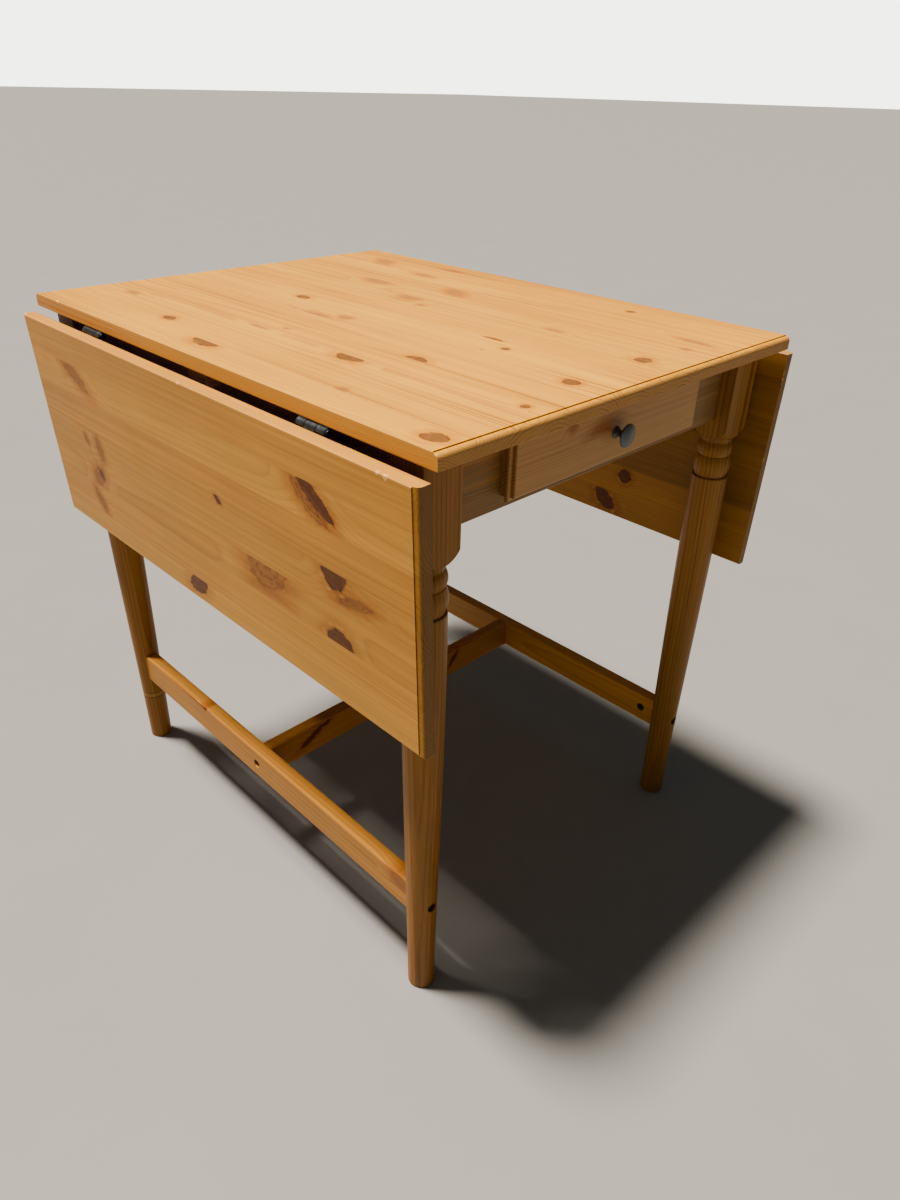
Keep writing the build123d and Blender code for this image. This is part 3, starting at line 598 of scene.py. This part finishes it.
# knots: (along the grain, across it, length, width, turn in degrees)
topLook = dict(
    boardLook,
    axes=lambda x, y, z: (y, x, z - table["topUnder"]),
    start=-table["halfWidth"],
    # the top's underside is darkened as painted shade
    under=0.5,
    underShade=0.62,
    seed=3.0,
    early=fromSrgb(224, 157, 36),
    knot=fromSrgb(106, 68, 38),
    knotRing=fromSrgb(62, 36, 18),
    paleKnot=fromSrgb(150, 100, 58),
    knotDepth=0.84,
    veins=1.0,
    vein=fromSrgb(160, 98, 30),
    knots=[
        (-338, 62, 22, 19, 0),
        (-338, -62, 22, 17, 8),
        (-358, -154, 11, 10, 0),
        (-362, -272, 30, 20, -12),
        (-178, -124, 32, 17, 0),
        (-128, -172, 42, 24, 0),
        (22, -256, 48, 24, 0),
        (150, -230, 25, 14, 8),
        (148, -33, 25, 15, 0),
        (-190, 248, 12, 12, 0),
        (-172, 2, 28, 8, 0),
        (-210, -19, 12, 10, 0),
        (-195, -42, 5, 4, 0),
    ],
    paleKnots=[
        (-343, 138, 13, 9, 0),
        (-335, 172, 50, 14, 12),
        (-190, 90, 28, 9, 0),
        (-210, -250, 14, 12, 0),
        (18, -152, 9, 7, 0),
        (45, -170, 34, 7, 0),
        (312, -196, 26, 11, 0),
        (18, -64, 24, 15, 0),
        (52, -83, 48, 16, 0),
        (55, 80, 38, 26, 0),
        (12, 58, 12, 9, 0),
        (40, 150, 52, 24, 30),
        (170, 120, 54, 30, 10),
        (160, 203, 46, 16, 0),
        (160, 262, 38, 11, 0),
        (285, 230, 52, 24, 28),
    ],
    edges=(
        (-table["halfLength"], -table["halfWidth"], 0.0),
        (table["halfLength"], table["halfWidth"], table["boardThick"]),
    ),
    chips=[((322.0, -295.0, 17.0), 3.5), ((-388.0, -293.0, 16.5), 3.0)],
)
dress(["centre_top"], pine("topPine", topLook))

leftLeafLook = dict(
    boardLook,
    axes=leafAxes(-1.0),
    start=0.0,
    # the leaf's underside is darkened as painted shade
    under=6.5,
    underShade=0.5,
    seed=11.0,
    # the leaves' tone is lowered as painted shade, for a leaf that hangs under light from above
    shade=0.84,
    endShade=0.42,
    contrast=0.46,
    bands=0.62,
    veins=0.3,
    paleKnot=fromSrgb(118, 66, 20),
    knots=[
        (-247, 55, 72, 17, -35),
        (-269, 128, 40, 38, 0),
        (-257, 130, 7, 6, 0),
        (-65, 120, 15, 8, -30),
        (-271, 208, 44, 30, -8),
        (16, 262, 48, 26, 20),
        (244, 188, 16, 9, -60),
    ],
    paleKnots=[
        (-238, 62, 78, 30, -35),
        (-148, 174, 88, 62, 12),
        (262, 54, 92, 22, -27),
        (268, 143, 20, 11, -60),
        (231, 148, 40, 20, -75),
        (252, 192, 44, 28, 40),
        (266, 234, 48, 20, -52),
        (-300, 150, 60, 16, 10),
    ],
    edges=(
        (-table["halfLength"], table["leafGap"], table["leafUnder"]),
        (table["halfLength"], table["leafReach"], table["leafUnder"] + table["boardThick"]),
    ),
    chips=[
        ((-18.0, 0.5, 23.0), 2.6),
        ((-352.0, 1.5, 23.0), 3.8),
        ((-342.0, 1.0, 23.0), 2.4),
        ((388.0, 1.0, 22.5), 5.0),
        ((389.5, 286.0, 20.0), 5.5),
    ],
)
dress(["left_leaf"], pine("leftLeafPine", leftLeafLook))

rightLeafLook = dict(
    leftLeafLook,
    axes=leafAxes(1.0),
    seed=23.0,
    knots=[
        (-185, 223, 23, 20, 0),
        (-155, 268, 46, 22, -32),
        (120, 60, 24, 16, 0),
        (250, 190, 40, 20, 20),
    ],
    paleKnots=[(-300, 110, 40, 18, 20), (40, 150, 50, 20, -25), (-20, 20, 30, 12, 0)],
    toneSpread=0.4,
    chips=[],
)
dress(["right_leaf"], pine("rightLeafPine", rightLeafLook))

# what every rail starts from: one stave, with plainer and tighter grain
railLook = dict(
    boardLook,
    start=0.0,
    width=48.0,
    pitch=1.2,
    contrast=0.9,
    bands=0.6,
    redSpread=0.6,
    knots=[],
    paleKnots=[],
)

legLook = dict(
    railLook,
    grain="z",
    axes=lambda x, y, z: (z, x - x.sign() * table["legX"], y - y.sign() * table["legY"]),
    home=lambda x, y, z: x.sign() + y.sign() * 2.0,
    seed=41.0,
    late=fromSrgb(146, 74, 22),
    pitch=1.7,
    # the legs' tone is darkened: partly a darker stain, partly painted shade from the top and leaves
    # above them
    shade=0.38,
    mark={
        "height": 90.5,
        "ringHalf": (3.0, 4.2),
        "ringDepth": 0.16,
        "lines": 4.6,
        "lineHalf": (0.3, 1.0),
        "lineDepth": 0.75,
    },
)
dress([name for name in nodes if name.endswith("_leg")], pine("turnedPine", legLook))

sideStretcherLook = dict(
    railLook,
    axes=lambda x, y, z: (y, z - table["stretcherHeight"], x - x.sign() * table["legX"]),
    home=lambda x, y, z: x.sign(),
    seed=53.0,
    # the side stretchers are darkened as painted shade under the table
    shade=0.7,
    knots=[(136, 20.5, 9, 3.5, 0), (172, 20.5, 74, 1.6, 0)],
    paleKnots=[(-308, 14, 36, 20, 10), (142, 20, 16, 6, 0)],
    knotsIn=-1,
)
dress(["left_stretcher", "right_stretcher"], pine("sideStretcherPine", sideStretcherLook))

crossStretcherLook = dict(
    railLook,
    grain="x",
    axes=lambda x, y, z: (x, z - table["stretcherHeight"], y),
    home=oneStave,
    seed=57.0,
    # the cross stretcher is darkened further as painted shade, deeper under the table
    shade=0.55,
    knots=[(-177, 4.5, 50, 11, 27), (-150, 16, 16, 9, 10), (117, 7.5, 32, 9, 49)],
    knotsIn=1,
)
dress(["cross_stretcher"], pine("crossStretcherPine", crossStretcherLook))

sideApronLook = dict(
    railLook,
    axes=lambda x, y, z: (y, z - table["apronHeight"], x - x.sign() * table["sideApronX"]),
    home=lambda x, y, z: x.sign(),
    # greyer colours and a low tone: painted shade, behind the leaves and under the top
    early=honey["paintedShadeDull"],
    late=honey["paintedShadeDullLate"],
    seed=61.0,
    shade=0.42,
    redSpread=0.2,
)
dress(["left_apron", "right_apron"], pine("sideApronPine", sideApronLook))

endApronLook = dict(
    railLook,
    grain="x",
    axes=lambda x, y, z: (x, z - table["apronHeight"], y - y.sign() * table["endApronY"]),
    home=lambda x, y, z: y.sign(),
    # greyer colours and a low tone: painted shade, under the top and beside the drawer front
    early=honey["paintedShadeDull"],
    late=honey["paintedShadeDullLate"],
    seed=67.0,
    shade=0.4,
    redSpread=0.1,
)
dress(["front_apron", "rear_apron"], pine("endApronPine", endApronLook))

drawerFrontLook = dict(
    boardLook,
    grain="x",
    axes=lambda x, y, z: (x, z, y - table["drawerFrontY"]),
    # greyer colours and a lowered tone: painted shade on a face turned away from the sun
    early=honey["paintedShadeDull"],
    late=honey["paintedShadeDullLate"],
    start=table["drawerFrontBottom"],
    seed=71.0,
    knots=[],
    paleKnots=[(-80, 702, 14, 9, 0), (-30, 692, 46, 14, 12)],
    shade=0.68,
)
dress(["drawer_front"], pine("drawerFrontPine", drawerFrontLook))

# bare pine inside the frame and the drawer, each piece cut from strips of one width
bareLook = dict(
    railLook,
    early=fromSrgb(232, 196, 140),
    late=fromSrgb(208, 160, 100),
    seed=53.0,
    shade=0.95,
    coat=0.0,
    rough=0.6,
)
bareStrip = 60.0
crosswiseLook = dict(
    bareLook,
    grain="x",
    axes=lambda x, y, z: (x, z - table["boxHeight"], y),
    home=lambda x, y, z: floor(y / bareStrip),
)
lengthwiseLook = dict(
    bareLook,
    axes=lambda x, y, z: (y, z - table["boxHeight"], x),
    home=lambda x, y, z: floor(x / bareStrip),
)
crosswisePieces = [
    "left_support_bar",
    "right_support_bar",
    "front_support_guide",
    "rear_support_guide",
    "support_stop_pins",
    "drawer_back",
    "drawer_stop",
    "drawer_dowels",
]
lengthwisePieces = [
    "left_support_keeper",
    "right_support_keeper",
    "left_drawer_runner",
    "right_drawer_runner",
    "drawer_left_side",
    "drawer_right_side",
]
dress(crosswisePieces, pine("barePineCrosswise", crosswiseLook))
dress(lengthwisePieces, pine("barePineLengthwise", lengthwiseLook))

# thin birch plywood: one wide veneer peeled round the log
birchLook = dict(
    bareLook,
    grain="x",
    axes=lambda x, y, z: (x, y, z - table["boxHeight"]),
    home=oneStave,
    early=fromSrgb(230, 206, 160),
    late=fromSrgb(206, 174, 124),
    contrast=0.4,
    bands=0.2,
    seed=83.0,
)
dress(["drawer_bottom"], pine("birchPly", birchLook))
print("wood made")

# each metal: its two colours, how rough and how metallic it is, its fine grain and its bump
hingeLook = {
    "main": fromSrgb(54, 58, 62),
    "worn": fromSrgb(98, 102, 104),
    "rough": 0.42,
    "metallic": 0.75,
    "grain": 1.1,
    "depth": 0.0001,
}
knobLook = {
    "main": fromSrgb(72, 78, 80),
    "worn": fromSrgb(120, 124, 122),
    "rough": 0.4,
    "metallic": 0.7,
    "grain": 0.9,
    "depth": 0.00014,
}
blackBoltLook = {
    "main": fromSrgb(34, 32, 30),
    "worn": fromSrgb(70, 66, 60),
    "rough": 0.5,
    "metallic": 0.5,
    "grain": 1.0,
    "depth": 0.0001,
}
zincLook = {
    "main": fromSrgb(176, 178, 180),
    "worn": fromSrgb(132, 134, 138),
    "rough": 0.36,
    "metallic": 0.95,
    "grain": 1.6,
    "depth": 0.00006,
}
# how the worn spots lie on a metal
tarnish = {
    "cloudScale": 0.12,
    "cloudShare": 0.6,
    "from": 0.5,
    "to": 0.68,
    "depth": 0.65,
    "rough": 0.06,
    "grainRough": 0.3,
}


def metal(name, look):
    finish = Finish(name)
    point = finish.join(*finish.place())
    cloud = finish.noise(point, tarnish["cloudScale"], 4.0, 0.6)
    fine = finish.noise(point, look["grain"], 3.0, 0.6)
    share = tarnish["cloudShare"]
    spots = finish.step(cloud * share + fine * (1 - share), tarnish["from"], tarnish["to"])
    colour = finish.mix(spots * tarnish["depth"], look["main"], look["worn"])
    rough = look["rough"] + (fine - 0.5) * tarnish["grainRough"] + spots * tarnish["rough"]
    return finish.finish(colour, rough, fine, dict(metalGloss, depth=look["depth"]), look["metallic"])


# what is left is metal
metalPieces = sorted(unfinished)
hingePieces = [name for name in metalPieces if "hinge" in name]
boltPieces = [name for name in metalPieces if "stretcher" in name]
dress(metalPieces, metal("zincSteel", zincLook))
dress(hingePieces, metal("hingeSteel", hingeLook))
dress(boltPieces, metal("blackSteel", blackBoltLook))
dress(["drawer_knob"], metal("knobIron", knobLook))
print("metal made")

floorLook = {
    "size": 200.0,
    "colour": fromSrgb(144, 142, 137),
    "colourTwo": fromSrgb(136, 134, 130),
    "mottle": 0.004,
    "rough": 0.6,
    "roughSpread": 0.1,
    "gloss": {"bump": 1.0, "depth": 0.0002, "coatRough": 0.22, "shine": 0.13},
}
bpy.ops.object.select_all(action="DESELECT")
bpy.ops.mesh.primitive_plane_add(size=floorLook["size"], location=(0, 0, 0))
floorPiece = bpy.context.object
floorPiece.name = "floor"
ground = Finish("paleFloor")
mottle = ground.noise(ground.join(*ground.place()), floorLook["mottle"], 5.0, 0.6)
floorColour = ground.mix(mottle, floorLook["colour"], floorLook["colourTwo"])
floorRough = floorLook["rough"] + (mottle - 0.5) * floorLook["roughSpread"]
floorPiece.data.materials.append(ground.finish(floorColour, floorRough, mottle, floorLook["gloss"]))
print("floor made")

# a soft sun from above and behind
sunLook = {"from": (-0.155, 0.26, 0.95), "power": 9.8, "softness": 10.0, "tint": (1.0, 0.93, 0.82)}
bpy.ops.object.light_add(type="SUN", location=(-1, 0, 3))
sunLamp = bpy.context.object
sunLamp.name = "keyLight"
sunLamp.data.energy = sunLook["power"]
sunLamp.data.angle = radians(sunLook["softness"])
sunLamp.data.color = sunLook["tint"]
sunLamp.rotation_euler = Vector(sunLook["from"]).to_track_quat("Z", "Y").to_euler()

# a soft panel on the left leaf's side
panelLook = {
    "place": (-2.6, 0.5, 1.2),
    "aim": (0, 0, 0.6),
    "size": 2.4,
    "power": 2.6,
    "tint": (1.0, 0.97, 0.93),
}
bpy.ops.object.light_add(type="AREA", location=panelLook["place"])
panelLamp = bpy.context.object
panelLamp.name = "panelLight"
panelLamp.data.size = panelLook["size"]
panelLamp.data.energy = panelLook["power"]
panelLamp.data.color = panelLook["tint"]
panelHeading = Vector(panelLook["place"]) - Vector(panelLook["aim"])
panelLamp.rotation_euler = panelHeading.to_track_quat("Z", "Y").to_euler()

# the room looks pale, and lights the table softly
roomLook = {
    "seen": (1.0, 0.98, 0.94, 1.0),
    "seenPower": 5.0,
    "glow": (0.84, 0.95, 1.0, 1.0),
    "glowPower": 0.11,
}
room = bpy.data.worlds.new("room")
bpy.context.scene.world = room
room.use_nodes = True
air = Shading(room.node_tree)
glow = air.node("ShaderNodeBackground", None, {0: roomLook["glow"], 1: roomLook["glowPower"]})
seen = air.node("ShaderNodeBackground", None, {0: roomLook["seen"], 1: roomLook["seenPower"]})
straight = air.node("ShaderNodeLightPath", None, None, "Is Camera Ray")
either = air.node("ShaderNodeMixShader", None, {0: straight, 1: glow, 2: seen})
air.node("ShaderNodeOutputWorld", None, {0: either}, None)
print("lights set")

# place in metres, angles in degrees, lens and sensor in mm
cameraLook = {
    "place": (-0.7423, -0.8529, 0.9895),
    "turn": 45.16,
    "down": 30.83,
    "roll": 1.49,
    "lens": 25.83,
    "sensor": 36.0,
    "near": 0.01,
}
bpy.ops.object.camera_add(location=cameraLook["place"])
camera = bpy.context.object
camera.name = "camera"
tilt = Euler((radians(90 - cameraLook["down"]), 0, radians(-cameraLook["turn"]))).to_matrix()
roll = Matrix.Rotation(radians(cameraLook["roll"]), 3, "Z")
camera.rotation_euler = (tilt @ roll).to_euler()
camera.data.lens = cameraLook["lens"]
camera.data.sensor_width = cameraLook["sensor"]
camera.data.clip_start = cameraLook["near"]
bpy.context.scene.camera = camera
print("camera set")
